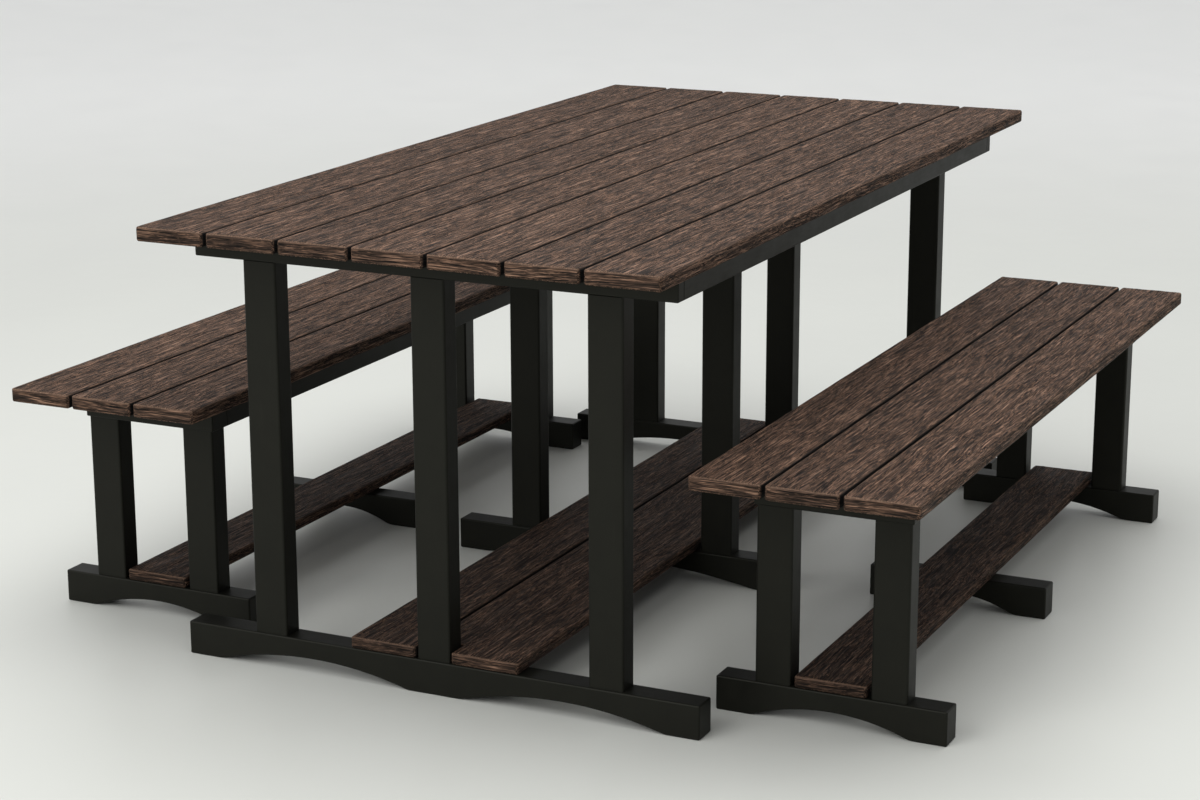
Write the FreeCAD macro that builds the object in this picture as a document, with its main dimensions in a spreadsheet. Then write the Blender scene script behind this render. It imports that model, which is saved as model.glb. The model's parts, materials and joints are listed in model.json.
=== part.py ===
import FreeCAD, Part
import os
from types import SimpleNamespace

import Sketcher

# A picnic table and two loose benches. +X is across the table, +Y along it and +Z up. The origin is
# on the floor under the middle of the table. "Near" is the -Y end and "far" the +Y end. On a bench,
# "inner" is the side towards the table.

TOP_BOARDS = 7
OUTER_BOARD = TOP_BOARDS // 2
SEAT_BOARDS = 3
RAIL_SCREWS = 4

# Two places closer than this, in millimetres, are the same place.
SAME_PLACE = 0.01

# Each driving size: millimetres, and what it measures.
SIZES = {
    "table_height": (750, "floor to the top of the table boards"),
    "top_length": (1770, "length of the table boards"),
    "board_width": (125, "width of a table board"),
    "board_gap": (5, "gap between neighbouring boards"),
    "board_thickness": (24, "thickness of table and seat boards"),
    "board_edge": (4, "rounding along a board's long edges"),
    "board_end_edge": (2, "rounding round a board's ends"),
    "frame_overhang": (120, "board end to the outer face of an end foot"),
    "bearer_inset": (27.5, "side of the table top to a bearer's end"),
    "bearer_height": (43, "height of the table's bearers and rails"),
    "bearer_tongue": (20, "thickness of the tongue at a bearer's end that covers a rail's end"),
    "rail_gap": (1.5, "groove between a rail's end and the tongue over it"),
    "beam_depth": (40, "depth of posts and of the table's bearers along Y"),
    "beam_edge": (2.5, "rounding of bearer and rail edges"),
    "post_width": (60, "width of a post along X"),
    "post_edge": (4, "rounding of a post's upright edges"),
    "post_inset": (120, "bearer's end to the centre of an outer post"),
    "foot_height": (57, "height of a foot"),
    "foot_depth": (46, "depth of a foot along Y"),
    "foot_edge": (3, "rounding of a foot's edges"),
    "foot_reach": (40, "how far a table foot runs past the bearer's end"),
    "foot_pad": (60, "length of the pad at each end of a foot"),
    "middle_pad": (95, "length of the pad in the middle of a table end foot"),
    "arch_rise": (25, "height of the arch between two pads"),
    "arch_blend": (40, "radius of the bend where an arch runs out into a pad"),
    "middle_frame_shift": (-40, "middle frame's place along Y"),
    "middle_post_spacing": (383, "distance between the two middle posts' centres"),
    "middle_foot_length": (660, "length of the table's middle foot"),
    "rail_width": (30, "width of a rail along X"),
    "shelf_width": (306, "width across both shelf boards"),
    "shelf_thickness": (20, "thickness of the low boards"),
    "post_clearance": (2, "space left between a shelf board and a post"),
    "seat_height": (422, "floor to the top of the seat boards"),
    "seat_length": (1580, "length of the seat boards"),
    "seat_board_width": (119, "width of a seat board"),
    "seat_overhang": (136, "seat board end to the outer face of a bench foot"),
    "seat_bearer_inset": (53.5, "side of the seat to a bench bearer's end"),
    "seat_bearer_height": (52, "height of a bench's bearers, rails and batten"),
    "seat_bearer_depth": (46, "depth of a bench's bearers and batten along Y"),
    "seat_post_inset": (34, "bench bearer's end to a post's centre"),
    "bench_foot_reach": (61, "how far a bench foot runs past the bearer's end"),
    "bench_middle_foot_length": (322, "length of a bench's middle foot"),
    "low_board_width": (120, "width of a bench's low board"),
    "bench_distance": (625, "middle of the table to the middle of a bench"),
    "bench_shift": (25, "how far the benches stand towards the far end"),
    "screw_diameter": (6, "diameter of a screw's shank"),
    "screw_length": (45, "length of a screw under its head"),
    "screw_tip": (6, "length of a screw's point"),
    "screw_head": (12, "diameter of a screw's head"),
    "screw_head_height": (3, "height of a screw's head"),
    "screw_socket": (4, "width of the square recess in a screw's head"),
    "screw_socket_depth": (2, "depth of the square recess"),
    "hole_clearance": (0.1, "radial space round a screw"),
    "pilot_extra": (1, "how far a pilot hole runs past the screw's tip"),
    "board_bite": (18, "how far a screw goes into a table or seat board"),
    "low_bite": (17, "how far a screw goes into a low board"),
    "low_head_depth": (4, "arch's crown to the head of a screw into a low board"),
    "post_bite": (25, "how far a screw goes into a post"),
    "screw_edge": (17.5, "screw to the nearest edge of a board, bearer or post"),
    "post_screw_spacing": (30, "distance between the two screws in a post's end"),
    "low_screw_spacing": (60, "distance between two screws across a low board"),
    "rail_screw_inset": (90, "end of a rail to its first screw"),
}

document = FreeCAD.newDocument("PicnicTable")
sheet = document.addObject("Spreadsheet::Sheet", "Sizes")
for row, (alias, (millimetres, meaning)) in enumerate(SIZES.items(), start=1):
    sheet.set(f"A{row}", meaning)
    sheet.set(f"B{row}", str(millimetres))
    sheet.setAlias(f"B{row}", alias)
document.recompute()


class Formula:
    """A length worked out from the sheet's cells. It stays text, so that objects can be bound to it."""

    def __init__(self, text):
        self.text = text

    @property
    def value(self):
        return float(sheet.evalExpression(self.text))

    def __add__(self, other):
        return Formula(f"({self.text} + {as_formula(other).text})")

    def __sub__(self, other):
        return Formula(f"({self.text} - {as_formula(other).text})")

    def __mul__(self, other):
        return Formula(f"({self.text} * {as_formula(other).text})")

    def __truediv__(self, other):
        return Formula(f"({self.text} / {as_formula(other).text})")

    def __neg__(self):
        return self * -1

    __rmul__ = __mul__


def as_formula(number):
    return number if isinstance(number, Formula) else Formula(str(number))


size = SimpleNamespace(**{name: Formula(f"Sizes.{name}") for name in SIZES})
ZERO = Formula("0")

# Heights and places that several pieces share.
top_width = size.board_width * TOP_BOARDS + size.board_gap * (TOP_BOARDS - 1)
board_pitch = size.board_width + size.board_gap
board_bottom = size.table_height - size.board_thickness
bearer_bottom = board_bottom - size.bearer_height
bearer_half = top_width / 2 - size.bearer_inset
rail_inner = bearer_half - size.rail_width
frame_y = size.top_length / 2 - size.frame_overhang - size.foot_depth / 2
foot_half = bearer_half + size.foot_reach
post_x = bearer_half - size.post_inset
post_half = size.post_width / 2
middle_post_x = size.middle_post_spacing / 2
middle_foot_half = size.middle_foot_length / 2

seat_width = size.seat_board_width * SEAT_BOARDS + size.board_gap * (SEAT_BOARDS - 1)
seat_pitch = size.seat_board_width + size.board_gap
seat_bottom = size.seat_height - size.board_thickness
seat_bearer_bottom = seat_bottom - size.seat_bearer_height
seat_bearer_half = seat_width / 2 - size.seat_bearer_inset
seat_rail_inner = seat_bearer_half - size.rail_width
bench_frame_y = size.seat_length / 2 - size.seat_overhang - size.foot_depth / 2
bench_foot_half = seat_bearer_half + size.bench_foot_reach
bench_post_x = seat_bearer_half - size.seat_post_inset
bench_middle_foot_half = size.bench_middle_foot_length / 2

# A screw's head sits this far inside the beam that it passes through. The screws into the low boards
# have their heads over the arches, and take the length that this leaves them.
bore_diameter = size.screw_diameter + size.hole_clearance * 2
head_bore = size.screw_head + size.hole_clearance * 2
foot_post_recess = size.foot_height - size.screw_length + size.post_bite
foot_board_recess = size.arch_rise + size.low_head_depth
low_screw_length = size.foot_height - foot_board_recess + size.low_bite


def board_recess(beam_height):
    return beam_height - size.screw_length + size.board_bite


def post_recess(beam_height):
    return beam_height - size.screw_length + size.post_bite


def origin_plane(body, role):
    return next(feature for feature in body.Origin.OriginFeatures if feature.Role == role)


def new_sketch(body, role, height=ZERO):
    """A sketch on one of the body's origin planes, raised by height."""
    sketch = body.newObject("Sketcher::SketchObject", "Sketch")
    sketch.AttachmentSupport = [(origin_plane(body, role), "")]
    sketch.MapMode = "FlatFace"
    sketch.setExpression("AttachmentOffset.Base.z", height.text)
    return sketch


def constrain(sketch, kind, *targets):
    """Add a constraint whose last target is the formula that it is bound to."""
    formula = targets[-1]
    index = sketch.addConstraint(Sketcher.Constraint(kind, *targets[:-1], formula.value))
    sketch.setExpression(f"Constraints[{index}]", formula.text)


def draw_polygon(sketch, points):
    corners = [FreeCAD.Vector(x.value, y.value, 0) for x, y in points]
    lines = []
    for (x, y), start, end in zip(points, corners, corners[1:] + corners[:1]):
        line = sketch.addGeometry(Part.LineSegment(start, end), False)
        constrain(sketch, "DistanceX", -1, 1, line, 1, x)
        constrain(sketch, "DistanceY", -1, 1, line, 1, y)
        lines.append(line)
    for line, following in zip(lines, lines[1:] + lines[:1]):
        sketch.addConstraint(Sketcher.Constraint("Coincident", line, 2, following, 1))


def draw_circle(sketch, x, y, diameter):
    centre = FreeCAD.Vector(x.value, y.value, 0)
    circle = Part.Circle(centre, FreeCAD.Vector(0, 0, 1), diameter.value / 2)
    index = sketch.addGeometry(circle, False)
    constrain(sketch, "Diameter", index, diameter)
    constrain(sketch, "DistanceX", -1, 1, index, 3, x)
    constrain(sketch, "DistanceY", -1, 1, index, 3, y)


def add_feature(body, kind, name):
    feature = body.newObject(kind, name)
    body.Tip = feature
    return feature


def place(item, x, y, z):
    item.setExpression("Placement.Base.x", x.text)
    item.setExpression("Placement.Base.y", y.text)
    item.setExpression("Placement.Base.z", z.text)


def block(label, outline, height, position):
    """A body padded upwards by height from its outline on the XY plane, and placed."""
    body = document.addObject("PartDesign::Body", "Body")
    body.Label = label
    sketch = new_sketch(body, "XY_Plane")
    draw_polygon(sketch, outline)
    pad = add_feature(body, "PartDesign::Pad", "Block")
    pad.Profile = sketch
    pad.setExpression("Length", height.text)
    place(body, *position)
    document.recompute()
    return body


def rectangle(width, depth):
    half_width = width / 2
    half_depth = depth / 2
    return [
        (-half_width, -half_depth),
        (half_width, -half_depth),
        (half_width, half_depth),
        (-half_width, half_depth),
    ]


def round_edges(body, radius, is_picked):
    """Fillet the edges of the body so far that is_picked accepts, given each edge's box in the body."""
    solid = body.Tip
    names = []
    for number, edge in enumerate(solid.Shape.Edges, start=1):
        if is_picked(edge.BoundBox):
            names.append(f"Edge{number}")
    fillet = add_feature(body, "PartDesign::Fillet", "Rounding")
    fillet.Base = (solid, names)
    fillet.setExpression("Radius", radius.text)
    document.recompute()


def runs_along(axis):
    return lambda box: box.DiagonalLength - getattr(box, f"{axis}Length") < SAME_PLACE


def lies_across_y(half_length):
    """Edges in one of the two planes y = -half_length and y = half_length."""
    reach = half_length.value
    return lambda box: box.YLength < SAME_PLACE and abs(abs(box.YMin) - reach) < SAME_PLACE


def cut(body, draw, plane, depth, height=ZERO, is_reversed=False, side="One side"):
    """Cut what draw() sketches, and make sure that it takes something away."""
    volume_before = body.Tip.Shape.Volume
    sketch = new_sketch(body, plane, height)
    draw(sketch)
    pocket = add_feature(body, "PartDesign::Pocket", "Cut")
    pocket.Profile = sketch
    pocket.Reversed = is_reversed
    pocket.SideType = side
    pocket.setExpression("Length", depth.text)
    document.recompute()
    if pocket.Shape.Volume >= volume_before:
        raise RuntimeError(f"a cut in {body.Label} takes nothing away")


def drill_below(body, points, diameter, depth):
    def draw(sketch):
        for x, y in points:
            draw_circle(sketch, x, y, diameter)

    cut(body, draw, "XY_Plane", depth, is_reversed=True)


def drill_above(body, points, diameter, depth, height):
    def draw(sketch):
        for x, y in points:
            draw_circle(sketch, x, y, diameter)

    cut(body, draw, "XY_Plane", depth, height=height)


def cut_arches(body, arches):
    """Cut an arch under a foot for each (centre, chord)."""

    def draw(sketch):
        for centre, chord in arches:
            radius = chord * chord / (size.arch_rise * 8) + size.arch_rise / 2
            draw_circle(sketch, centre, size.arch_rise - radius, radius * 2)

    cut(body, draw, "XZ_Plane", size.foot_depth * 2, side="Symmetric")


def board(label, outline, thickness, half_length, position, pilots, bite):
    """A board along Y, rounded all round, with pilot holes in its underside."""
    body = block(label, outline, thickness, position)
    widest = body.Tip.Shape.BoundBox
    is_long = runs_along("Y")

    def is_outer(box):
        return min(box.XMin - widest.XMin, widest.XMax - box.XMax) < SAME_PLACE

    round_edges(body, size.board_edge, lambda box: is_long(box) and is_outer(box))
    round_edges(body, size.board_end_edge, lies_across_y(half_length))
    drill_below(body, pilots, bore_diameter, bite + size.pilot_extra)
    return body


def post(label, x, y, foot_top, top):
    """A post with pilot holes for two screws in each end."""
    height = top - foot_top
    body = block(label, rectangle(size.post_width, size.beam_depth), height, (x, y, foot_top))
    round_edges(body, size.post_edge, runs_along("Z"))
    pilots = [(offset, ZERO) for offset in post_screw_offsets]
    depth = size.post_bite + size.pilot_extra
    drill_below(body, pilots, bore_diameter, depth)
    drill_above(body, pilots, bore_diameter, depth, height)
    return body


def bearer(label, outline, height, position, board_screws, post_screws):
    """A bearer across the frame. Screws go up through it to the boards and down into the posts."""
    body = block(label, outline, height, position)
    round_edges(body, size.beam_edge, lambda box: True)
    up = [(x, ZERO) for x in board_screws]
    down = [(x, ZERO) for x in post_screws]
    drill_below(body, up + down, bore_diameter, height)
    drill_below(body, up, head_bore, board_recess(height))
    if down:
        drill_above(body, down, head_bore, post_recess(height), height)
    return body


def cut_rebates(body, outward):
    """Cut the room for the side rails' ends behind the tongues of an end bearer.

    outward is 1 or -1, the side along Y that the tongues are on. The cut runs past the rounded edges."""
    behind_tongue = (size.beam_depth / 2 - size.bearer_tongue) * outward
    past_back = size.beam_depth * -outward
    past_end = bearer_half + size.rail_width

    def draw(sketch):
        for side in (-1, 1):
            corners = [
                (rail_inner * side, behind_tongue),
                (past_end * side, behind_tongue),
                (past_end * side, past_back),
                (rail_inner * side, past_back),
            ]
            draw_polygon(sketch, corners)

    cut(body, draw, "XY_Plane", size.bearer_height * 3, side="Symmetric")


def foot(label, half_length, arches, x, y, post_screws, board_screws):
    """A foot with arches under it. Screws go up through it to the posts and the low boards."""
    outline = rectangle(half_length * 2, size.foot_depth)
    body = block(label, outline, size.foot_height, (x, y, ZERO))
    cut_arches(body, arches)
    is_across = runs_along("Y")

    def is_inside(box):
        return is_across(box) and max(-box.XMin, box.XMax) < half_length.value - SAME_PLACE

    round_edges(body, size.arch_blend, is_inside)
    round_edges(body, size.foot_edge, lambda box: not is_inside(box))
    to_posts = [(offset, ZERO) for offset in post_screws]
    to_boards = [(offset, ZERO) for offset in board_screws]
    drill_below(body, to_posts + to_boards, bore_diameter, size.foot_height)
    if to_posts:
        drill_below(body, to_posts, head_bore, foot_post_recess)
    drill_below(body, to_boards, head_bore, foot_board_recess)
    return body


def rail(label, half_length, height, position, screw_places):
    """A rail along Y, with screws up into the board over it."""
    body = block(label, rectangle(size.rail_width, half_length * 2), height, position)
    round_edges(body, size.beam_edge, runs_along("Y"))
    screws = [(ZERO, offset) for offset in screw_places]
    drill_below(body, screws, bore_diameter, height)
    drill_below(body, screws, head_bore, board_recess(height))
    return body


def rail_screw_places(half_length):
    """Evenly spaced screws along a rail, from one inset to the other."""
    first = -half_length + size.rail_screw_inset
    step = first * -2 / (RAIL_SCREWS - 1)
    return [first + step * index for index in range(RAIL_SCREWS)]


def mirrored(places):
    return [-x for x in places]


def both_sides(places):
    return mirrored(places) + places


def around(centre, spacing):
    return [centre - spacing / 2, centre + spacing / 2]


post_screw_offsets = around(ZERO, size.post_screw_spacing)


def post_screws_at(post_places):
    return [x + offset for x in post_places for offset in post_screw_offsets]


def draw_screw(label, length):
    """A screw as it is before it is placed, head down and shank up, its head's underside at z = 0."""
    body = document.addObject("PartDesign::Body", "Body")
    body.Label = label
    profile = new_sketch(body, "XZ_Plane")
    head_radius = size.screw_head / 2
    shank_radius = size.screw_diameter / 2
    draw_polygon(
        profile,
        [
            (ZERO, -size.screw_head_height),
            (head_radius, -size.screw_head_height),
            (head_radius, ZERO),
            (shank_radius, ZERO),
            (shank_radius, length - size.screw_tip),
            (ZERO, length),
        ],
    )
    turned = add_feature(body, "PartDesign::Revolution", "Turned")
    turned.Profile = profile
    turned.ReferenceAxis = (profile, ["V_Axis"])
    turned.Angle = 360
    document.recompute()
    cut(
        body,
        lambda sketch: draw_polygon(sketch, rectangle(size.screw_socket, size.screw_socket)),
        "XY_Plane",
        size.screw_socket_depth,
        height=-size.screw_head_height,
        is_reversed=True,
    )
    return body


# Each screw is drawn once and copied into the groups.
frame_screw = draw_screw("frame_screw", size.screw_length)
low_screw = draw_screw("low_screw", low_screw_length)

UP = FreeCAD.Rotation()
DOWN = FreeCAD.Rotation(FreeCAD.Vector(1, 0, 0), 180)
screw_groups = {}


def add_screws(group, screw, points, height, rotation=UP):
    """Copies of a screw in a group, with their heads' undersides at height."""
    for x, y in points:
        position = FreeCAD.Vector(x.value, y.value, height.value)
        copy = screw.Shape.copy()
        copy.Placement = FreeCAD.Placement(position, rotation)
        screw_groups.setdefault(group, []).append(copy)


# Where the screws from the bearers meet the table boards. A board's screws keep clear of the posts
# under the bearer. The lists are for the boards on the +X side, from the middle one outwards.
board_left = [board_pitch * index - size.board_width / 2 for index in range(OUTER_BOARD + 1)]
board_right = [left + size.board_width for left in board_left]
end_columns = [
    [post_half + size.screw_edge],
    [board_left[1] + size.screw_edge, board_right[1] - size.screw_edge],
    [board_left[2] + size.screw_edge, post_x - post_half - size.screw_edge],
    [post_x + post_half + size.screw_edge, rail_inner - size.screw_edge],
]
middle_columns = [
    [board_right[0] - size.screw_edge],
    [board_left[1] + size.screw_edge, middle_post_x - post_half - size.screw_edge],
    [middle_post_x + post_half + size.screw_edge, board_right[2] - size.screw_edge],
    [board_left[3] + size.screw_edge, rail_inner - size.screw_edge],
]


def columns_of(columns, index):
    """The screw places under the board that is index boards to the right of the middle one."""
    if index == 0:
        return both_sides(columns[0])
    return columns[index] if index > 0 else mirrored(columns[-index])


def all_columns(columns):
    indexes = range(-OUTER_BOARD, OUTER_BOARD + 1)
    return [x for index in indexes for x in columns_of(columns, index)]


# The table's rails run under the outer boards, from tongue to tongue of the end bearers.
rail_half = frame_y + size.beam_depth / 2 - size.bearer_tongue - size.rail_gap
rail_x = bearer_half - size.rail_width / 2
table_rail_screws = rail_screw_places(rail_half)

for number in range(1, TOP_BOARDS + 1):
    offset = number - 1 - OUTER_BOARD
    centre = board_pitch * offset
    pilots = []
    for frame_place in (-frame_y, frame_y):
        pilots += [(x - centre, frame_place) for x in columns_of(end_columns, offset)]
    pilots += [(x - centre, size.middle_frame_shift) for x in columns_of(middle_columns, offset)]
    if abs(offset) == OUTER_BOARD:
        side = 1 if offset > 0 else -1
        pilots += [(rail_x * side - centre, y) for y in table_rail_screws]
    board(
        f"top_board_{number}",
        rectangle(size.board_width, size.top_length),
        size.board_thickness,
        size.top_length / 2,
        (centre, ZERO, board_bottom),
        pilots,
        size.board_bite,
    )

# The shelf boards lie on the feet. The left one passes beside the middle posts, and the right one,
# which starts a board gap further on, is notched round them.
shelf_half = size.shelf_width / 2
shelf_split = -post_half - size.post_clearance
shelf_half_length = frame_y + size.foot_depth / 2
right_shelf_start = shelf_split + size.board_gap
notch_side = post_half + size.post_clearance
notch_depth = frame_y - size.beam_depth / 2 - size.post_clearance
left_shelf_screws = around((shelf_split - shelf_half) / 2, size.low_screw_spacing)
right_shelf_screws = around((notch_side + shelf_half) / 2, size.low_screw_spacing)
foot_places = [-frame_y, size.middle_frame_shift, frame_y]

left_shelf_outline = [
    (-shelf_half, -shelf_half_length),
    (shelf_split, -shelf_half_length),
    (shelf_split, shelf_half_length),
    (-shelf_half, shelf_half_length),
]
right_shelf_outline = [
    (notch_side, -shelf_half_length),
    (shelf_half, -shelf_half_length),
    (shelf_half, shelf_half_length),
    (notch_side, shelf_half_length),
    (notch_side, notch_depth),
    (right_shelf_start, notch_depth),
    (right_shelf_start, -notch_depth),
    (notch_side, -notch_depth),
]
shelf_boards = {
    "left_shelf_board": (left_shelf_outline, left_shelf_screws),
    "right_shelf_board": (right_shelf_outline, right_shelf_screws),
}
for label, (outline, screws) in shelf_boards.items():
    board(
        label,
        outline,
        size.shelf_thickness,
        shelf_half_length,
        (ZERO, ZERO, size.foot_height),
        [(x, y) for y in foot_places for x in screws],
        size.low_bite,
    )
shelf_screws = left_shelf_screws + right_shelf_screws

# The two end frames: a foot with two arches, three posts and a bearer.
end_chord = foot_half - size.foot_pad - size.middle_pad / 2
end_arch_x = (size.middle_pad + end_chord) / 2
end_posts = {"left": -post_x, "middle": ZERO, "right": post_x}
end_post_screws = post_screws_at(end_posts.values())
for end, outward in (("near", -1), ("far", 1)):
    y = frame_y * outward
    foot(
        f"{end}_foot",
        foot_half,
        [(-end_arch_x, end_chord), (end_arch_x, end_chord)],
        ZERO,
        y,
        end_post_screws,
        shelf_screws,
    )
    for side, x in end_posts.items():
        post(f"{end}_{side}_post", x, y, size.foot_height, bearer_bottom)
    end_bearer = bearer(
        f"{end}_bearer",
        rectangle(bearer_half * 2, size.beam_depth),
        size.bearer_height,
        (ZERO, y, bearer_bottom),
        all_columns(end_columns),
        end_post_screws,
    )
    cut_rebates(end_bearer, outward)

# The middle frame: a shorter foot with one arch, two posts and a bearer between the rails.
middle_posts = {"left": -middle_post_x, "right": middle_post_x}
middle_post_screws = post_screws_at(middle_posts.values())
foot(
    "middle_foot",
    middle_foot_half,
    [(ZERO, (middle_foot_half - size.foot_pad) * 2)],
    ZERO,
    size.middle_frame_shift,
    middle_post_screws,
    shelf_screws,
)
for side, x in middle_posts.items():
    post(f"middle_{side}_post", x, size.middle_frame_shift, size.foot_height, bearer_bottom)
bearer(
    "middle_bearer",
    rectangle(rail_inner * 2, size.beam_depth),
    size.bearer_height,
    (ZERO, size.middle_frame_shift, bearer_bottom),
    all_columns(middle_columns),
    middle_post_screws,
)

board_screw_height = bearer_bottom + board_recess(size.bearer_height)
post_screw_height = board_bottom - post_recess(size.bearer_height)
for side, direction in (("left", -1), ("right", 1)):
    x = rail_x * direction
    rail(
        f"{side}_side_rail",
        rail_half,
        size.bearer_height,
        (x, ZERO, bearer_bottom),
        table_rail_screws,
    )
    to_boards = [(x, y) for y in table_rail_screws]
    add_screws("table_screws", frame_screw, to_boards, board_screw_height)

# The table's screws, frame by frame.
table_frames = [
    (-frame_y, all_columns(end_columns), end_post_screws),
    (size.middle_frame_shift, all_columns(middle_columns), middle_post_screws),
    (frame_y, all_columns(end_columns), end_post_screws),
]
for y, board_columns, post_columns in table_frames:
    to_boards = [(x, y) for x in board_columns]
    to_posts = [(x, y) for x in post_columns]
    to_shelf = [(x, y) for x in shelf_screws]
    add_screws("table_screws", frame_screw, to_boards, board_screw_height)
    add_screws("table_screws", frame_screw, to_posts, post_screw_height, DOWN)
    add_screws("table_screws", frame_screw, to_posts, foot_post_recess)
    add_screws("table_screws", low_screw, to_shelf, foot_board_recess)


def bench(name, centre_x, inward):
    """A bench whose inner side is towards inward, 1 or -1, along X."""
    centre_y = size.bench_shift
    group = f"{name}_screws"
    rail_half_length = bench_frame_y - size.seat_bearer_depth / 2
    seat_rail_x = seat_bearer_half - size.rail_width / 2
    seat_rail_screws = rail_screw_places(rail_half_length)
    middle_board_screws = both_sides([size.seat_board_width / 2 - size.screw_edge])
    batten_board_screw = seat_pitch - size.seat_board_width / 2 + size.screw_edge
    low_screws = around(ZERO, size.low_screw_spacing)
    post_places = {"inner": bench_post_x * inward, "outer": bench_post_x * -inward}
    post_columns = post_screws_at(post_places.values())
    frame_places = {"near": -bench_frame_y, "far": bench_frame_y}

    def on_bench(points):
        return [(centre_x + x, centre_y + y) for x, y in points]

    # The outer boards are held by the rails and the batten, because the posts fill the bearers there.
    for side, direction in (("inner", inward), ("middle", 0), ("outer", -inward)):
        board_x = seat_pitch * direction
        if direction == 0:
            pilots = [(x, y) for y in frame_places.values() for x in middle_board_screws]
            pilots += [(x, ZERO) for x in middle_board_screws]
        else:
            pilots = [(seat_rail_x * direction - board_x, y) for y in seat_rail_screws]
            pilots.append((batten_board_screw * direction - board_x, ZERO))
        board(
            f"{name}_{side}_seat_board",
            rectangle(size.seat_board_width, size.seat_length),
            size.board_thickness,
            size.seat_length / 2,
            (centre_x + board_x, centre_y, seat_bottom),
            pilots,
            size.board_bite,
        )

    board_screw_height = seat_bearer_bottom + board_recess(size.seat_bearer_height)
    post_screw_height = seat_bottom - post_recess(size.seat_bearer_height)
    bench_chord = (bench_foot_half - size.foot_pad) * 2
    for end, frame_place in frame_places.items():
        y = centre_y + frame_place
        foot(
            f"{name}_{end}_foot",
            bench_foot_half,
            [(ZERO, bench_chord)],
            centre_x,
            y,
            post_columns,
            low_screws,
        )
        for side, x in post_places.items():
            post(f"{name}_{end}_{side}_post", centre_x + x, y, size.foot_height, seat_bearer_bottom)
        bearer(
            f"{name}_{end}_bearer",
            rectangle(seat_bearer_half * 2, size.seat_bearer_depth),
            size.seat_bearer_height,
            (centre_x, y, seat_bearer_bottom),
            middle_board_screws,
            post_columns,
        )
        to_posts = on_bench([(x, frame_place) for x in post_columns])
        to_boards = on_bench([(x, frame_place) for x in middle_board_screws])
        add_screws(group, frame_screw, to_posts, foot_post_recess)
        add_screws(group, frame_screw, to_posts, post_screw_height, DOWN)
        add_screws(group, frame_screw, to_boards, board_screw_height)

    foot(
        f"{name}_middle_foot",
        bench_middle_foot_half,
        [(ZERO, (bench_middle_foot_half - size.foot_pad) * 2)],
        centre_x,
        centre_y,
        [],
        low_screws,
    )
    low_half_length = bench_frame_y + size.foot_depth / 2
    low_points = [(x, y) for y in (-bench_frame_y, ZERO, bench_frame_y) for x in low_screws]
    board(
        f"{name}_low_board",
        rectangle(size.low_board_width, low_half_length * 2),
        size.shelf_thickness,
        low_half_length,
        (centre_x, centre_y, size.foot_height),
        low_points,
        size.low_bite,
    )
    add_screws(group, low_screw, on_bench(low_points), foot_board_recess)

    for side, direction in (("inner", inward), ("outer", -inward)):
        x = seat_rail_x * direction
        rail(
            f"{name}_{side}_rail",
            rail_half_length,
            size.seat_bearer_height,
            (centre_x + x, centre_y, seat_bearer_bottom),
            seat_rail_screws,
        )
        to_board = on_bench([(x, y) for y in seat_rail_screws])
        add_screws(group, frame_screw, to_board, board_screw_height)

    batten_screws = both_sides([batten_board_screw]) + middle_board_screws
    bearer(
        f"{name}_batten",
        rectangle(seat_rail_inner * 2, size.seat_bearer_depth),
        size.seat_bearer_height,
        (centre_x, centre_y, seat_bearer_bottom),
        batten_screws,
        [],
    )
    to_boards = on_bench([(x, ZERO) for x in batten_screws])
    add_screws(group, frame_screw, to_boards, board_screw_height)


bench("left_bench", -size.bench_distance, 1)
bench("right_bench", size.bench_distance, -1)

for label, shapes in screw_groups.items():
    group = document.addObject("Part::Feature", "Screws")
    group.Label = label
    group.Shape = Part.makeCompound(shapes)

document.recompute()

for item in document.Objects:
    if "Invalid" in item.State or "Error" in item.State:
        raise RuntimeError(f"{item.Label} failed: {item.State}")

pieces = []
for item in document.Objects:
    is_piece = item.TypeId in ("PartDesign::Body", "Part::Feature")
    if is_piece and item not in (frame_screw, low_screw):
        pieces.append(item)
for piece in pieces:
    if piece.Shape.isNull() or not piece.Shape.isValid():
        raise RuntimeError(f"{piece.Label} has no valid shape")
    if piece.TypeId == "PartDesign::Body" and len(piece.Shape.Solids) != 1:
        raise RuntimeError(f"{piece.Label} is {len(piece.Shape.Solids)} solids")

os.makedirs("parts", exist_ok=True)
for piece in pieces:
    piece.Shape.exportStep(f"parts/{piece.Label}.step")
print(f"{len(pieces)} parts written")
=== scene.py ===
import json
import math
import random

import bpy
import numpy as np
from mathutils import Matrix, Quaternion, Vector, noise


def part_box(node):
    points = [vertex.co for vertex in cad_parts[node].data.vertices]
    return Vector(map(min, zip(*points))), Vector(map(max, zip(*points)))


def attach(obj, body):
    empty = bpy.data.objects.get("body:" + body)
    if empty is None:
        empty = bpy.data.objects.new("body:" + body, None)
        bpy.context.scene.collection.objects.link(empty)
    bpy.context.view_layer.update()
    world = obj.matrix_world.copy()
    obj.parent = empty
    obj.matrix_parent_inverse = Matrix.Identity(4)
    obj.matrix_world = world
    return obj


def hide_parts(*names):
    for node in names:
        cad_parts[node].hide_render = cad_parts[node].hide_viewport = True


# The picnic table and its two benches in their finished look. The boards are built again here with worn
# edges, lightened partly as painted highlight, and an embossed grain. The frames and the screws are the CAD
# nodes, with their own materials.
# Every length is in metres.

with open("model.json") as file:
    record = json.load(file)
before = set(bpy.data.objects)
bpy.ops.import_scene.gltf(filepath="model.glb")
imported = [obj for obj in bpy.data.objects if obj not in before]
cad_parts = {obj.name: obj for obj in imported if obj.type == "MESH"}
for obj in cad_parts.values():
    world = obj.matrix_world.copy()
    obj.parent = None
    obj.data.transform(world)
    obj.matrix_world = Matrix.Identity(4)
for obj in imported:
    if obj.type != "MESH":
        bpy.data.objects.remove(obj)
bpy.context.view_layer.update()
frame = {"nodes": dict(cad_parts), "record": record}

MM = 0.001

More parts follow.
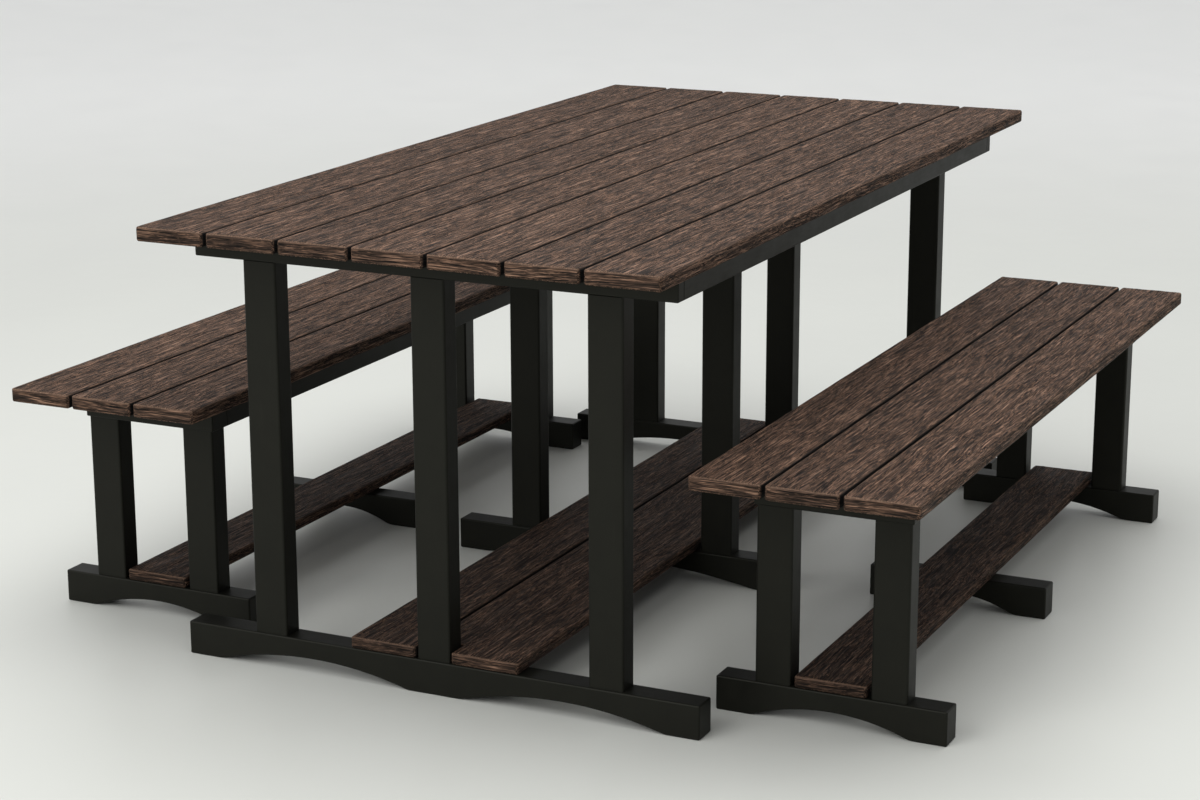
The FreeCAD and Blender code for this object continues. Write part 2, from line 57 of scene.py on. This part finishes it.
# Boards: how far each edge is rounded across, along and down the board, how far its corners are rounded
# as seen from above, and how its mesh is spaced.
ROUNDING = Vector((4.5, 4.0, 4.5)) * MM
CORNER_RADIUS = 6 * MM
ROUNDING_ANGLES = (45, 30, 15, 0)
STEP_ACROSS = 3.2 * MM
STEP_ALONG = 8 * MM
STEP_DOWN = 4 * MM

# Boards: depth of the embossing on the broad faces, on the ends, and its share inside a gap.
RELIEF = 0.55 * MM
END_RELIEF = 0.2 * MM
SIDE_RELIEF_SHARE = 0.2

# Painted shade: a side that faces another board across a gap is painted dark, apart from a strip under its
# top edge and at its ends that is left lit, past which the painted shade deepens over a short way.
WIDEST_GAP = 12 * MM
GAP_LIT_DEPTH = 0.7 * MM
GAP_DARKENING = 1.8 * MM
GAP_END_DARKENING = 3 * MM
GAP_LIT_END = 0.9 * MM

# How much darker the low boards are, as painted shade under the top and the seats, and how much the rounded
# edges are lightened, partly by wear and partly as painted highlight.
LOW_BOARD_PAINTED_SHADE = 0.35
END_WEAR_AND_HIGHLIGHT = 0.75
SIDE_WEAR_AND_HIGHLIGHT = 0.3
WEAR_AND_HIGHLIGHT_SLOPE = 4

# How far a point or a face turns before it counts: towards the board's end, a little along or up, or down.
END_POINT = 0.7
END_FACE = 0.85
SLIGHT_TURN = 0.2
UNDERSIDE_FADE = 0.9

# The relief is two layers of noise: cells a metre across and along the board, and their shares.
BROAD_ACROSS, BROAD_ALONG, BROAD_SHARE = 60, 7, 0.5
NARROW_ACROSS, NARROW_ALONG, NARROW_SHARE = 170, 19, 0.45
RELIEF_LEVEL = 0.45
LEAST_SHIFT, MOST_SHIFT = 1, 9

# The grain's noise, in cells a metre across, along and down the board, and how much each layer counts.
WANDER_CELLS = (9, 3.2, 9)
WANDER_REACH = 0.022
BAND_CELLS, BAND_GAIN = (60, 3.5, 60), 0.25
STREAK_CELLS, STREAK_GAIN = (260, 7, 260), 1.0
FIBRE_CELLS, FIBRE_GAIN = (600, 17, 600), 2.2
TONE_GAIN = 0.06
# Painted shade: how far the low boards' grain is shifted darker.
PAINTED_SHADE_GAIN = -0.22
BODY_LEVEL = 0.465

# Cracks, darkened partly as painted shadow, each with a pale crest beside it that is a painted highlight:
# cells of the lines, cells of the patches with lines, and width.
CRACK_LINES = (
    ((260, 8, 260), (80, 12, 80), 0.016),
    ((480, 14, 480), (120, 20, 120), 0.026),
)
CRACK_LEVEL = 0.47


def body_of_node(node):
    return next(body for body, nodes in frame["record"]["behaviour"]["bodies"].items() if node in nodes)


# ---------------------------------------------------------------- materials


class Shader:
    """A material's node tree, written as nested calls."""

    def __init__(self, name):
        self.material = bpy.data.materials.new(name)
        self.material.use_nodes = True
        self.tree = self.material.node_tree
        self.tree.nodes.clear()
        output = self.tree.nodes.new("ShaderNodeOutputMaterial")
        self.surface = self.tree.nodes.new("ShaderNodeBsdfPrincipled")
        self.tree.links.new(self.surface.outputs["BSDF"], output.inputs["Surface"])

    def plug(self, socket, value):
        """Link a node's output into the socket, or set a plain value on it."""
        if isinstance(value, bpy.types.NodeSocket):
            self.tree.links.new(value, socket)
        else:
            socket.default_value = value

    def set(self, **values):
        for name, value in values.items():
            self.plug(self.surface.inputs[name.replace("_", " ")], value)

    def attribute(self, name, output="Vector"):
        node = self.tree.nodes.new("ShaderNodeAttribute")
        node.attribute_name = name
        return node.outputs[output]

    def place(self):
        return self.tree.nodes.new("ShaderNodeTexCoord").outputs["Object"]

    def vector(self, operation, first, second):
        node = self.tree.nodes.new("ShaderNodeVectorMath")
        node.operation = operation
        self.plug(node.inputs[0], first)
        self.plug(node.inputs[1], second)
        return node.outputs["Vector"]

    def distance_from_origin(self, place):
        node = self.tree.nodes.new("ShaderNodeVectorMath")
        node.operation = "LENGTH"
        self.plug(node.inputs[0], place)
        return node.outputs["Value"]

    def math(self, operation, first, second=0.0, third=0.0):
        node = self.tree.nodes.new("ShaderNodeMath")
        node.operation = operation
        for socket, value in zip(node.inputs, (first, second, third)):
            self.plug(socket, value)
        return node.outputs["Value"]

    def centred(self, value):
        """A value from 0 to 1 moved so that its middle is at 0."""
        return self.math("SUBTRACT", value, 0.5)

    def noise(self, place, stretch, detail, roughness=0.55):
        """Noise over place with the scale along each axis given by stretch, in cells a metre."""
        node = self.tree.nodes.new("ShaderNodeTexNoise")
        self.plug(node.inputs["Vector"], self.vector("MULTIPLY", place, stretch))
        node.inputs["Scale"].default_value = 1.0
        node.inputs["Detail"].default_value = detail
        node.inputs["Roughness"].default_value = roughness
        return node.outputs["Fac"]

    def ramp(self, value, *stops):
        """A ramp through (position, colour)."""
        node = self.tree.nodes.new("ShaderNodeValToRGB")
        elements = node.color_ramp.elements
        while len(elements) < len(stops):
            elements.new(0.5)
        for element, (position, colour) in zip(elements, stops):
            element.position = position
            element.color = (*colour, 1)
        self.plug(node.inputs["Fac"], value)
        return node.outputs["Color"]

    def between(self, value, low, high, to_low=0.0, to_high=1.0):
        """Value moved from the range low..high to another one, with a smooth start and end."""
        node = self.tree.nodes.new("ShaderNodeMapRange")
        node.interpolation_type = "SMOOTHSTEP"
        for name, number in (("From Min", low), ("From Max", high), ("To Min", to_low), ("To Max", to_high)):
            node.inputs[name].default_value = number
        self.plug(node.inputs["Value"], value)
        return node.outputs["Result"]

    def mix(self, factor, first, second):
        node = self.tree.nodes.new("ShaderNodeMix")
        node.data_type = "RGBA"
        factor_in, first_in, second_in = node.inputs[0], node.inputs[6], node.inputs[7]
        for socket, value in ((factor_in, factor), (first_in, first), (second_in, second)):
            self.plug(socket, value if not isinstance(value, tuple) else (*value, 1))
        return node.outputs[2]

    def bump(self, height, distance, strength):
        node = self.tree.nodes.new("ShaderNodeBump")
        node.inputs["Strength"].default_value = strength
        node.inputs["Distance"].default_value = distance
        self.plug(node.inputs["Height"], height)
        return node.outputs["Normal"]


def linear(red, green, blue):
    """A colour given by its everyday 0 to 255 values, as the shader wants it."""

    def one(value):
        value /= 255
        return value / 12.92 if value <= 0.04045 else ((value + 0.055) / 1.055) ** 2.4

    return one(red), one(green), one(blue)


# Painted highlight on the pale crests. The near-black of the cracks is partly their own dark and partly
# painted shadow of the embossing.
CREST_PAINTED_HIGHLIGHT_COLOUR, CREST_PAINTED_HIGHLIGHT_STRENGTH = linear(158, 122, 99), 0.7
CRACK_AND_PAINTED_SHADOW_COLOUR, CRACK_AND_PAINTED_SHADOW_STRENGTH = linear(9, 7, 6), 0.95
# Painted shade on the low boards.
PAINTED_SHADE_COLOUR, PAINTED_SHADE_STRENGTH = linear(20, 12, 8), 0.6
# Lighter rounded top edges: partly wear and partly a painted highlight.
WEAR_AND_HIGHLIGHT_COLOUR = linear(146, 118, 99)
# Painted shade on the board sides inside the gaps.
GAP_PAINTED_SHADE_COLOUR = linear(8, 6, 5)


def board_material():
    """Dark brown composite board with a deep embossed wood grain along it."""
    shader = Shader("embossed_brown_board")
    grain = shader.attribute("grain")
    edge_wear_and_highlight = shader.attribute("edge_wear_and_highlight", "Fac")
    tone = shader.attribute("tone", "Fac")
    shade = shader.attribute("shade", "Fac")

    # The grain wanders a few millimetres to each side.
    wander = shader.noise(grain, WANDER_CELLS, detail=2.0)
    sway = shader.math("MULTIPLY", shader.centred(wander), WANDER_REACH)
    offset = shader.tree.nodes.new("ShaderNodeCombineXYZ")
    shader.plug(offset.inputs["X"], sway)
    shader.plug(offset.inputs["Z"], sway)
    place = shader.vector("ADD", grain, offset.outputs["Vector"])

    bands = shader.noise(place, BAND_CELLS, detail=2.0)
    streaks = shader.noise(place, STREAK_CELLS, detail=3.0, roughness=0.6)
    fibres = shader.noise(place, FIBRE_CELLS, detail=3.0, roughness=0.6)
    cracks_and_shadows, crest_highlights = [], []
    for line_cells, patch_cells, width in CRACK_LINES:
        field = shader.noise(place, line_cells, detail=2.0, roughness=0.5)
        zone = shader.between(shader.noise(place, patch_cells, detail=2.0), 0.42, 0.52)
        for lines, level in ((cracks_and_shadows, CRACK_LEVEL), (crest_highlights, CRACK_LEVEL + 2.0 * width)):
            ridge = shader.math("ABSOLUTE", shader.math("SUBTRACT", field, level))
            line = shader.between(ridge, 0.4 * width, 1.1 * width, to_low=1.0, to_high=0.0)
            lines.append(shader.math("MULTIPLY", line, zone))
    crack_and_shadow = shader.math("MAXIMUM", *cracks_and_shadows)
    crest_highlight = shader.math("MAXIMUM", *crest_highlights)

    body = shader.math("MULTIPLY_ADD", shader.centred(streaks), STREAK_GAIN, BODY_LEVEL)
    body = shader.math("MULTIPLY_ADD", shader.centred(fibres), FIBRE_GAIN, body)
    body = shader.math("MULTIPLY_ADD", shader.centred(bands), BAND_GAIN, body)
    body = shader.math("MULTIPLY_ADD", shader.centred(tone), TONE_GAIN, body)
    # Painted shade: the low boards' grain is shifted darker.
    body = shader.math("MULTIPLY_ADD", shade, PAINTED_SHADE_GAIN, body)
    colour = shader.ramp(
        body,
        (0.20, linear(18, 13, 10)),
        (0.42, linear(48, 37, 30)),
        (0.56, linear(72, 55, 45)),
        (0.70, linear(108, 83, 68)),
        (0.86, linear(158, 124, 102)),
    )
    half_on_ends = shader.math("MULTIPLY_ADD", shader.attribute("end", "Fac"), -0.5, 1.0)
    crack_and_shadow = shader.math("MULTIPLY", crack_and_shadow, half_on_ends)
    crest_highlight = shader.math("MULTIPLY", crest_highlight, half_on_ends)
    # Painted highlight along the crests and, in part, painted shadow along the cracks, as if the embossing
    # were lit from one side.
    colour = shader.mix(shader.math("MULTIPLY", crest_highlight, CREST_PAINTED_HIGHLIGHT_STRENGTH), colour, CREST_PAINTED_HIGHLIGHT_COLOUR)
    colour = shader.mix(shader.math("MULTIPLY", crack_and_shadow, CRACK_AND_PAINTED_SHADOW_STRENGTH), colour, CRACK_AND_PAINTED_SHADOW_COLOUR)
    # Rounded top edges lightened, partly as wear and partly as a painted highlight where they would catch the
    # light.
    wear_and_highlight = shader.math("MULTIPLY", edge_wear_and_highlight, shader.between(fibres, 0.35, 0.6, to_low=0.55, to_high=0.9))
    colour = shader.mix(wear_and_highlight, colour, WEAR_AND_HIGHLIGHT_COLOUR)
    # Painted shade: the low boards are darkened further.
    colour = shader.mix(shader.math("MULTIPLY", shade, PAINTED_SHADE_STRENGTH), colour, PAINTED_SHADE_COLOUR)
    # Painted shade on the sides that face another board across a gap.
    colour = shader.mix(shader.attribute("gap_painted_shade", "Fac"), colour, GAP_PAINTED_SHADE_COLOUR)

    height = shader.math("MULTIPLY_ADD", fibres, 0.6, shader.math("MULTIPLY", streaks, 0.9))
    height = shader.math("MULTIPLY_ADD", crack_and_shadow, -0.35, height)
    height = shader.math("MULTIPLY_ADD", crest_highlight, 0.15, height)
    roughness = shader.between(streaks, 0.3, 0.7, to_low=0.85, to_high=0.6)
    normal = shader.bump(height, distance=2.6 * MM, strength=0.8)
    shader.set(Base_Color=colour, Roughness=roughness, Normal=normal)
    shader.surface.inputs["Specular IOR Level"].default_value = 0.14
    return shader.material


BEAM_GRAIN_CELLS = 260
SCUFF_CELLS = 60


def beam_material(name, stretch):
    """Satin charcoal beam with a faint moulded grain along it and a slightly mottled finish."""
    shader = Shader(name)
    place = shader.place()
    mottle = shader.noise(place, (28, 28, 28), detail=4.0, roughness=0.6)
    grain = shader.noise(place, tuple(axis * BEAM_GRAIN_CELLS for axis in stretch), detail=4.0, roughness=0.6)
    peel = shader.noise(place, (900, 900, 900), detail=2.0, roughness=0.5)
    patches = shader.noise(place, tuple(axis * SCUFF_CELLS for axis in stretch), detail=5.0, roughness=0.7)
    scuffs = shader.between(patches, 0.62, 0.78)
    colour = shader.mix(shader.between(mottle, 0.3, 0.7), linear(10, 10, 7), linear(15, 15, 11))
    colour = shader.mix(shader.math("MULTIPLY", scuffs, 0.35), colour, linear(30, 30, 26))
    roughness = shader.math("MULTIPLY_ADD", mottle, 0.16, shader.math("MULTIPLY_ADD", grain, 0.10, 0.38))
    height = shader.math("MULTIPLY_ADD", grain, 0.6, shader.math("MULTIPLY", peel, 0.25))
    normal = shader.bump(height, distance=0.25 * MM, strength=0.5)
    shader.set(Base_Color=colour, Roughness=roughness, Normal=normal)
    shader.surface.inputs["Specular IOR Level"].default_value = 0.22
    shader.surface.inputs["Specular Tint"].default_value = (1.0, 1.0, 0.86, 1)
    return shader.material


def screw_material():
    """Brushed stainless steel."""
    shader = Shader("brushed_screw_steel")
    place = shader.place()
    rings = shader.noise(place, (900, 900, 3500), detail=2.0)
    stain = shader.noise(place, (120, 120, 120), detail=3.0)
    colour = shader.mix(stain, linear(150, 148, 144), linear(188, 187, 184))
    shader.set(Base_Color=colour, Roughness=shader.between(rings, 0.3, 0.7, to_low=0.24, to_high=0.46))
    shader.set(Normal=shader.bump(rings, distance=0.05 * MM, strength=0.4))
    shader.surface.inputs["Metallic"].default_value = 1.0
    return shader.material


def floor_material():
    """Plain pale floor, a little lighter far out, with a soft sheen."""
    shader = Shader("pale_floor")
    place = shader.place()
    far_out = shader.between(shader.distance_from_origin(place), FLOOR_NEAR, FLOOR_FAR)
    colour = shader.mix(far_out, linear(210, 211, 205), linear(243, 243, 240))
    speckle = shader.noise(place, (4, 4, 4), detail=4.0, roughness=0.6)
    shader.set(Base_Color=colour, Roughness=shader.between(speckle, 0.3, 0.7, to_low=0.36, to_high=0.48))
    shader.surface.inputs["Specular IOR Level"].default_value = 0.25
    return shader.material


# ---------------------------------------------------------------- boards


def places_along(low, high, rounding, step):
    """Mesh places from low to high: close together over the rounded edges and evenly spaced between."""
    rounded = [rounding * (1 - math.tan(math.radians(angle))) for angle in ROUNDING_ANGLES]
    count = max(1, round((high - low - 2 * rounding) / step))
    middle = np.linspace(low + rounding, high - rounding, count + 1)[1:-1]
    return [low + place for place in rounded] + list(middle) + [high - place for place in reversed(rounded)]


def notch_of(node):
    """The corner notches that the node's CAD mesh has: (x of its side, y of its depth), or None."""
    low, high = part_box(node)
    mesh = frame["nodes"][node].data
    ends = [v.co.x for v in mesh.vertices if high.y - v.co.y < ROUNDING.y]
    side = min(ends)
    if side - low.x < 2 * ROUNDING.x:
        return None
    inner = [v.co.y for v in mesh.vertices if v.co.x < low.x + ROUNDING.x]
    return side, max(inner)


def nearest_inner(point, boxes):
    """The point inside the rounded core that is nearest to a point on the board's sharp outline."""
    best = None
    for low, high in boxes:
        inside = Vector(min(max(value, a), b) for value, a, b in zip(point, low, high))
        apart = Vector((a - b) / r for a, b, r in zip(point, inside, ROUNDING))
        if best is None or apart.length_squared < best[1].length_squared:
            best = inside, apart
    return best


def relief_at(place):
    """How deep the embossing is at a place in the board's own grain, from 0 to 1."""
    across, along, down = place
    broad = noise.noise(Vector((across * BROAD_ACROSS, along * BROAD_ALONG, down * BROAD_ACROSS)))
    narrow = noise.noise(Vector((across * NARROW_ACROSS, along * NARROW_ALONG, down * NARROW_ACROSS)))
    return min(1.0, max(0.0, RELIEF_LEVEL + BROAD_SHARE * broad + NARROW_SHARE * narrow))


def round_corner(point, low, high):
    """The point moved in where the board's outline, low to high seen from above, has a rounded corner."""
    middle = (low + high) / 2
    flat = (high - low) / 2 - Vector((CORNER_RADIUS, CORNER_RADIUS, 0))
    x, y = point.x - middle.x, point.y - middle.y
    past_x = max(0.0, abs(x) - flat.x) / CORNER_RADIUS
    past_y = max(0.0, abs(y) - flat.y) / CORNER_RADIUS
    if past_x * past_y == 0:
        return point
    x = math.copysign(flat.x + CORNER_RADIUS * past_x * math.sqrt(1 - past_y**2 / 2), x)
    y = math.copysign(flat.y + CORNER_RADIUS * past_y * math.sqrt(1 - past_x**2 / 2), y)
    return Vector((middle.x + x, middle.y + y, point.z))


def neighbour_sides(node):
    """The sides along X, -1 and 1, on which another board lies beside this one."""
    low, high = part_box(node)
    sides = set()
    for other in frame["nodes"]:
        other_low, other_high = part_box(other)
        if "board" in other and abs(other_high.z - high.z) < MM:
            if 0 < other_low.x - high.x < WIDEST_GAP:
                sides.add(1)
            if 0 < low.x - other_high.x < WIDEST_GAP:
                sides.add(-1)
    return sides


def build_board(node, material, seed):
    low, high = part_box(node)
    hidden_sides = neighbour_sides(node)
    centre = (low + high) / 2
    notch = notch_of(node)
    ends_low = Vector((notch[0], low.y, low.z)) if notch else low
    core_low, core_high = low + ROUNDING, high - ROUNDING
    cores = [(core_low, core_high)]
    xs = places_along(low.x, high.x, ROUNDING.x, STEP_ACROSS)
    ys = places_along(low.y, high.y, ROUNDING.y, STEP_ALONG)
    zs = places_along(low.z, high.z, ROUNDING.z, STEP_DOWN)
    if notch:
        side, depth = notch
        xs = places_along(low.x, side, ROUNDING.x, STEP_ACROSS)
        xs += places_along(side, high.x, ROUNDING.x, STEP_ACROSS)[1:]
        middle = places_along(-depth, depth, ROUNDING.y, STEP_ALONG)
        tongue = places_along(depth, high.y, ROUNDING.y, STEP_ALONG)[1:]
        ys = [-y for y in reversed(tongue)] + middle + tongue
        wide_low = Vector((core_low.x, -depth + ROUNDING.y, core_low.z))
        wide_high = Vector((core_high.x, depth - ROUNDING.y, core_high.z))
        tongue_low = Vector((side + ROUNDING.x, core_low.y, core_low.z))
        cores = [(wide_low, wide_high), (tongue_low, core_high)]

    def is_solid(i, j):
        if not (0 <= i < len(xs) - 1 and 0 <= j < len(ys) - 1):
            return False
        if not notch:
            return True
        x = (xs[i] + xs[i + 1]) / 2
        y = (ys[j] + ys[j + 1]) / 2
        return x > side or abs(y) < depth

    corners = {}
    quads = []

    def corner(i, j, k):
        return corners.setdefault((i, j, k), len(corners))

    def quad(*keys):
        quads.append([corner(*key) for key in keys])

    top = len(zs) - 1
    for i in range(len(xs) - 1):
        for j in range(len(ys) - 1):
            if not is_solid(i, j):
                continue
            quad((i, j, top), (i + 1, j, top), (i + 1, j + 1, top), (i, j + 1, top))
            quad((i, j, 0), (i, j + 1, 0), (i + 1, j + 1, 0), (i + 1, j, 0))
            for k in range(top):
                if not is_solid(i - 1, j):
                    quad((i, j, k), (i, j, k + 1), (i, j + 1, k + 1), (i, j + 1, k))
                if not is_solid(i + 1, j):
                    quad((i + 1, j, k), (i + 1, j + 1, k), (i + 1, j + 1, k + 1), (i + 1, j, k + 1))
                if not is_solid(i, j - 1):
                    quad((i, j, k), (i + 1, j, k), (i + 1, j, k + 1), (i, j, k + 1))
                if not is_solid(i, j + 1):
                    quad((i, j + 1, k), (i, j + 1, k + 1), (i + 1, j + 1, k + 1), (i + 1, j + 1, k))

    draw = random.Random(seed)
    shift = Vector([draw.uniform(LEAST_SHIFT, MOST_SHIFT) for _ in "xyz"])
    tone = draw.random()
    points = []
    edge_wear_and_highlights = []
    gap_painted_shades = []
    for i, j, k in corners:
        inside, apart = nearest_inner(Vector((xs[i], ys[j], zs[k])), cores)
        outward = apart.normalized()
        point = inside + Vector(a * b for a, b in zip(outward, ROUNDING))
        is_end = abs(outward.y) > END_POINT
        is_hidden = round(outward.x) in hidden_sides and not is_end
        across, along, down = point - centre
        place = Vector((down, across, along)) if is_end else Vector((across, along, down))
        depth_here = (END_RELIEF if is_end else RELIEF) * relief_at(place + shift)
        depth_here *= SIDE_RELIEF_SHARE if is_hidden else min(1.0, max(0.0, outward.z + UNDERSIDE_FADE))
        points.append(round_corner(point - outward * depth_here, ends_low, high))
        largest = max(abs(value) for value in outward)
        # Only the upward rounded edges are lightened, as wear and painted highlight, most at the board's
        # ends.
        wear_and_highlight = END_WEAR_AND_HIGHLIGHT if abs(outward.y) > SLIGHT_TURN else SIDE_WEAR_AND_HIGHLIGHT
        edge_wear_and_highlights.append(wear_and_highlight * min(1.0, (1 - largest) * WEAR_AND_HIGHLIGHT_SLOPE) if outward.z > SLIGHT_TURN else 0.0)
        # Painted shade, deepening down a hidden side and away from its ends.
        below_edge = (high.z - point.z - GAP_LIT_DEPTH) / GAP_DARKENING
        from_end = (min(high.y - point.y, point.y - low.y) - GAP_LIT_END) / GAP_END_DARKENING
        gap_painted_shades.append(min(1.0, max(0.0, below_edge), max(0.0, from_end)) if is_hidden else 0.0)

    mesh = bpy.data.meshes.new(node + "_worn")
    mesh.from_pydata([tuple(point) for point in points], [], quads)
    mesh.validate()
    mesh.polygons.foreach_set("use_smooth", [True] * len(mesh.polygons))
    mesh.attributes.new("edge_wear_and_highlight", "FLOAT", "POINT").data.foreach_set("value", edge_wear_and_highlights)
    mesh.attributes.new("gap_painted_shade", "FLOAT", "POINT").data.foreach_set("value", gap_painted_shades)
    mesh.attributes.new("tone", "FLOAT", "POINT").data.foreach_set("value", [tone] * len(points))
    # Painted shade: the low boards under the top and the seats get a darker colour.
    shade = 0.0 if "top" in node or "seat" in node else LOW_BOARD_PAINTED_SHADE
    mesh.attributes.new("shade", "FLOAT", "POINT").data.foreach_set("value", [shade] * len(points))
    grain = np.zeros((len(mesh.loops), 3), np.float32)
    ends = []
    for face in mesh.polygons:
        on_end = abs(face.normal.y) > END_FACE
        ends.append(float(on_end))
        for loop in face.loop_indices:
            across, along, down = points[mesh.loops[loop].vertex_index] - centre
            grain[loop] = (down, across, along) if on_end else (across, along, down)
    grain += np.array(shift, np.float32)
    mesh.attributes.new("grain", "FLOAT_VECTOR", "CORNER").data.foreach_set("vector", grain.ravel())
    mesh.attributes.new("end", "FLOAT", "FACE").data.foreach_set("value", ends)
    mesh.materials.append(material)

    piece = bpy.data.objects.new(node + "_worn", mesh)
    bpy.context.scene.collection.objects.link(piece)
    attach(piece, body_of_node(node))
    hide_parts(node)


# ---------------------------------------------------------------- the object

board_look = board_material()
for seed, node in enumerate(sorted(name for name in frame["nodes"] if "board" in name)):
    build_board(node, board_look, seed)

looks = {
    "across": beam_material("satin_charcoal_across", (0.12, 1, 1)),
    "along": beam_material("satin_charcoal_along", (1, 0.12, 1)),
    "upright": beam_material("satin_charcoal_upright", (1, 1, 0.12)),
    "screws": screw_material(),
}


def look_of(node):
    if "screws" in node:
        return looks["screws"]
    if "post" in node:
        return looks["upright"]
    if "rail" in node:
        return looks["along"]
    return looks["across"]


for node, item in frame["nodes"].items():
    if "board" not in node:
        item.data.materials.clear()
        item.data.materials.append(look_of(node))

# ---------------------------------------------------------------- camera, floor and light

CAMERA_PLACE = Vector((1.968, -4.268, 1.539))
CAMERA_AIM = Vector((-0.067, 0.0, 0.301))
CAMERA_LENS = 79.7
CAMERA_ROLL = math.radians(-0.15)
FLOOR_REACH = 40.0
FLOOR_NEAR = 2.4
FLOOR_FAR = 6.9
FLOOR_SIDES = 96
SKY_COLOUR = (0.93, 0.94, 0.95, 1)
SKY_AT_HORIZON = 0.42
SKY_OVERHEAD = 1.2
SKY_TO_THE_RIGHT = 0.5

camera = bpy.data.objects.new("camera", bpy.data.cameras.new("camera"))
bpy.context.scene.collection.objects.link(camera)
camera.location = CAMERA_PLACE
camera.rotation_mode = "QUATERNION"
aim = (CAMERA_AIM - CAMERA_PLACE).to_track_quat("-Z", "Y")
camera.rotation_quaternion = aim @ Quaternion((0, 0, 1), CAMERA_ROLL)
camera.data.lens = CAMERA_LENS
camera.data.sensor_width = 36.0
bpy.context.scene.camera = camera

floor_mesh = bpy.data.meshes.new("floor")
angles = np.linspace(0, 2 * math.pi, FLOOR_SIDES + 1)[:-1]
ring = [(FLOOR_REACH * math.cos(a), FLOOR_REACH * math.sin(a), 0) for a in angles]
floor_mesh.from_pydata(ring, [], [list(range(len(ring)))])
floor_mesh.materials.append(floor_material())
floor = bpy.data.objects.new("floor", floor_mesh)
bpy.context.scene.collection.objects.link(floor)


def soft_box(name, place, aim_at, width, power):
    data = bpy.data.lights.new(name, "AREA")
    data.shape = "SQUARE"
    data.size = width
    data.energy = power
    light = bpy.data.objects.new(name, data)
    bpy.context.scene.collection.objects.link(light)
    light.location = place
    light.rotation_mode = "QUATERNION"
    light.rotation_quaternion = (Vector(aim_at) - Vector(place)).to_track_quat("-Z", "Y")


soft_box("top", place=(0.2, 0.2, 4.6), aim_at=(0.1, 0, 0.4), width=4.5, power=109)
soft_box("front", place=(-1.6, -5.0, 3.2), aim_at=(0, 0, 0.4), width=3.5, power=110)

world = bpy.data.worlds.new("studio")
bpy.context.scene.world = world
world.use_nodes = True
nodes, links = world.node_tree.nodes, world.node_tree.links
direction = nodes.new("ShaderNodeSeparateXYZ")
links.new(nodes.new("ShaderNodeTexCoord").outputs["Generated"], direction.inputs["Vector"])
sky = nodes.new("ShaderNodeMapRange")
sky.inputs["To Min"].default_value = SKY_AT_HORIZON
sky.inputs["To Max"].default_value = SKY_OVERHEAD
links.new(direction.outputs["Z"], sky.inputs["Value"])
sideways = nodes.new("ShaderNodeMapRange")
sideways.inputs["To Min"].default_value = 1.0
sideways.inputs["To Max"].default_value = SKY_TO_THE_RIGHT
links.new(direction.outputs["X"], sideways.inputs["Value"])
strength = nodes.new("ShaderNodeMath")
strength.operation = "MULTIPLY"
links.new(sky.outputs["Result"], strength.inputs[0])
links.new(sideways.outputs["Result"], strength.inputs[1])
links.new(strength.outputs["Value"], nodes["Background"].inputs["Strength"])
nodes["Background"].inputs["Color"].default_value = SKY_COLOUR
bpy.context.scene.view_settings.view_transform = "Standard"
